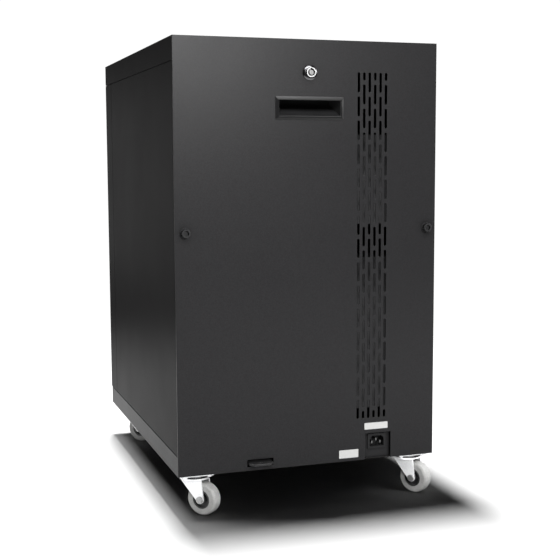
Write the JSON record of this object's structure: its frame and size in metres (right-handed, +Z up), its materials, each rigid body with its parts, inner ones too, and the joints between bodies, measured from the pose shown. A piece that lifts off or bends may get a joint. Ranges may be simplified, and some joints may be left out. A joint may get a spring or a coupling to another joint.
{
  "type": "charging cabinet",
  "caption": "Floor-standing steel cabinet on swivel casters that stores and charges portable devices, with a locking door and a vented, locking rear service panel.",
  "frame": {"origin": "on the floor, under the middle of the whole cabinet's box", "axes": "+Z up, -Y out of the rear service panel, +Y out of the door, +X to the right when the service panel is looked at"},
  "size_m": [0.42, 0.58, 0.715],
  "materials": {
    "powder_black": "satin black powder coat with a fine texture",
    "inner_grey": "light grey satin paint",
    "zinc_steel": "bright zinc plate",
    "chrome": "polished chrome plate",
    "black_plastic": "moulded, slightly grained",
    "brass": "plain",
    "grey_tyre": "matt non-marking tread"
  },
  "bodies": {
    "cabinet": {"top_cover": "powder_black", "base_tray": "powder_black", "left_side_panel": "powder_black", "right_side_panel": "powder_black", "rear_frame": "powder_black", "front_frame": "powder_black", "partition": "powder_black", "left_shelf_rack": "powder_black", "right_shelf_rack": "powder_black", "power_unit": "inner_grey", "charge_controller": "inner_grey", "outlet_sockets": "black_plastic", "adapter_rack": "powder_black", "inlet_bracket": "powder_black", "power_inlet": "black_plastic", "inlet_pins": "brass", "security_tab": "powder_black", "caster_plates": "zinc_steel", "caster_screws": "zinc_steel", "door_pins": "zinc_steel", "shelf_01": "inner_grey", "shelf_02": "inner_grey", "shelf_03": "inner_grey", "shelf_04": "inner_grey", "shelf_05": "inner_grey", "shelf_06": "inner_grey", "shelf_07": "inner_grey", "shelf_08": "inner_grey", "shelf_09": "inner_grey", "shelf_10": "inner_grey"},
    "rear_panel": {"rear_panel": "powder_black", "rear_handle_cup": "black_plastic", "rear_lock_housing": "chrome"},
    "rear_lock": {"rear_lock_plug": "chrome", "rear_lock_cam": "zinc_steel"},
    "left_screw_carrier": {"left_screw_clip": "zinc_steel"},
    "left_screw": {"left_thumbscrew": "black_plastic"},
    "right_screw_carrier": {"right_screw_clip": "zinc_steel"},
    "right_screw": {"right_thumbscrew": "black_plastic"},
    "front_door": {"front_door": "powder_black", "front_handle_cup": "black_plastic", "front_lock_housing": "chrome"},
    "front_lock": {"front_lock_plug": "chrome", "front_lock_cam": "zinc_steel"},
    "rear_left_swivel": {"rear_left_fork": "zinc_steel", "rear_left_axle": "zinc_steel"},
    "rear_left_wheel": {"rear_left_hub": "black_plastic", "rear_left_tyre": "grey_tyre"},
    "rear_right_swivel": {"rear_right_fork": "zinc_steel", "rear_right_axle": "zinc_steel"},
    "rear_right_wheel": {"rear_right_hub": "black_plastic", "rear_right_tyre": "grey_tyre"},
    "front_left_swivel": {"front_left_fork": "zinc_steel", "front_left_axle": "zinc_steel"},
    "front_left_wheel": {"front_left_hub": "black_plastic", "front_left_tyre": "grey_tyre"},
    "front_right_swivel": {"front_right_fork": "zinc_steel", "front_right_axle": "zinc_steel"},
    "front_right_wheel": {"front_right_hub": "black_plastic", "front_right_tyre": "grey_tyre"}
  },
  "joints": [
    {"name": "rear_panel_tilt", "type": "hinge", "parent": "cabinet", "child": "rear_panel", "pos_m": [0, -0.278, 0.065], "axis": [1, 0, 0], "range_deg": [0, 20]},
    {"name": "rear_lock_turn", "type": "hinge", "parent": "rear_panel", "child": "rear_lock", "pos_m": [0, -0.278, 0.666], "axis": [0, -1, 0], "range_deg": [0, 90]},
    {"name": "front_door_swing", "type": "hinge", "parent": "cabinet", "child": "front_door", "pos_m": [0.2, 0.265, 0.096], "axis": [0, 0, -1], "range_deg": [0, 110]},
    {"name": "front_lock_turn", "type": "hinge", "parent": "front_door", "child": "front_lock", "pos_m": [-0.15, 0.282, 0.61], "axis": [0, 1, 0], "range_deg": [0, 90]},
    {"name": "left_screw_travel", "type": "slide", "parent": "rear_panel", "child": "left_screw_carrier", "axis": [0, -1, 0], "range_m": [0, 0.004]},
    {"name": "left_screw_turn", "type": "hinge", "parent": "left_screw_carrier", "child": "left_screw", "pos_m": [-0.1945, -0.278, 0.43], "axis": [0, -1, 0], "range_deg": [0, 1800]},
    {"name": "right_screw_travel", "type": "slide", "parent": "rear_panel", "child": "right_screw_carrier", "axis": [0, -1, 0], "range_m": [0, 0.004]},
    {"name": "right_screw_turn", "type": "hinge", "parent": "right_screw_carrier", "child": "right_screw", "pos_m": [0.1945, -0.278, 0.43], "axis": [0, -1, 0], "range_deg": [0, 1800]},
    {"name": "rear_left_swivel", "type": "hinge", "parent": "cabinet", "child": "rear_left_swivel", "pos_m": [-0.178, -0.25, 0.058], "axis": [0, 0, 1], "continuous": true},
    {"name": "rear_left_roll", "type": "hinge", "parent": "rear_left_swivel", "child": "rear_left_wheel", "pos_m": [-0.16632, -0.26235, 0.025], "axis": [0.7266, 0.6871, 0], "continuous": true},
    {"name": "rear_right_swivel", "type": "hinge", "parent": "cabinet", "child": "rear_right_swivel", "pos_m": [0.178, -0.25, 0.058], "axis": [0, 0, 1], "continuous": true},
    {"name": "rear_right_roll", "type": "hinge", "parent": "rear_right_swivel", "child": "rear_right_wheel", "pos_m": [0.18693, -0.26446, 0.025], "axis": [0.8508, 0.5255, 0], "continuous": true},
    {"name": "front_left_swivel", "type": "hinge", "parent": "cabinet", "child": "front_left_swivel", "pos_m": [-0.178, 0.22, 0.058], "axis": [0, 0, 1], "continuous": true},
    {"name": "front_left_roll", "type": "hinge", "parent": "front_left_swivel", "child": "front_left_wheel", "pos_m": [-0.16577, 0.20819, 0.025], "axis": [0.6947, 0.7193, 0], "continuous": true},
    {"name": "front_right_swivel", "type": "hinge", "parent": "cabinet", "child": "front_right_swivel", "pos_m": [0.178, 0.22, 0.058], "axis": [0, 0, 1], "continuous": true},
    {"name": "front_right_roll", "type": "hinge", "parent": "front_right_swivel", "child": "front_right_wheel", "pos_m": [0.18751, 0.20591, 0.025], "axis": [0.829, 0.5592, 0], "continuous": true}
  ],
  "couplings": [
    {"joint": "left_screw_turn", "follows": "left_screw_travel", "rad_per_m": 7854},
    {"joint": "right_screw_turn", "follows": "right_screw_travel", "rad_per_m": 7854}
  ]
}
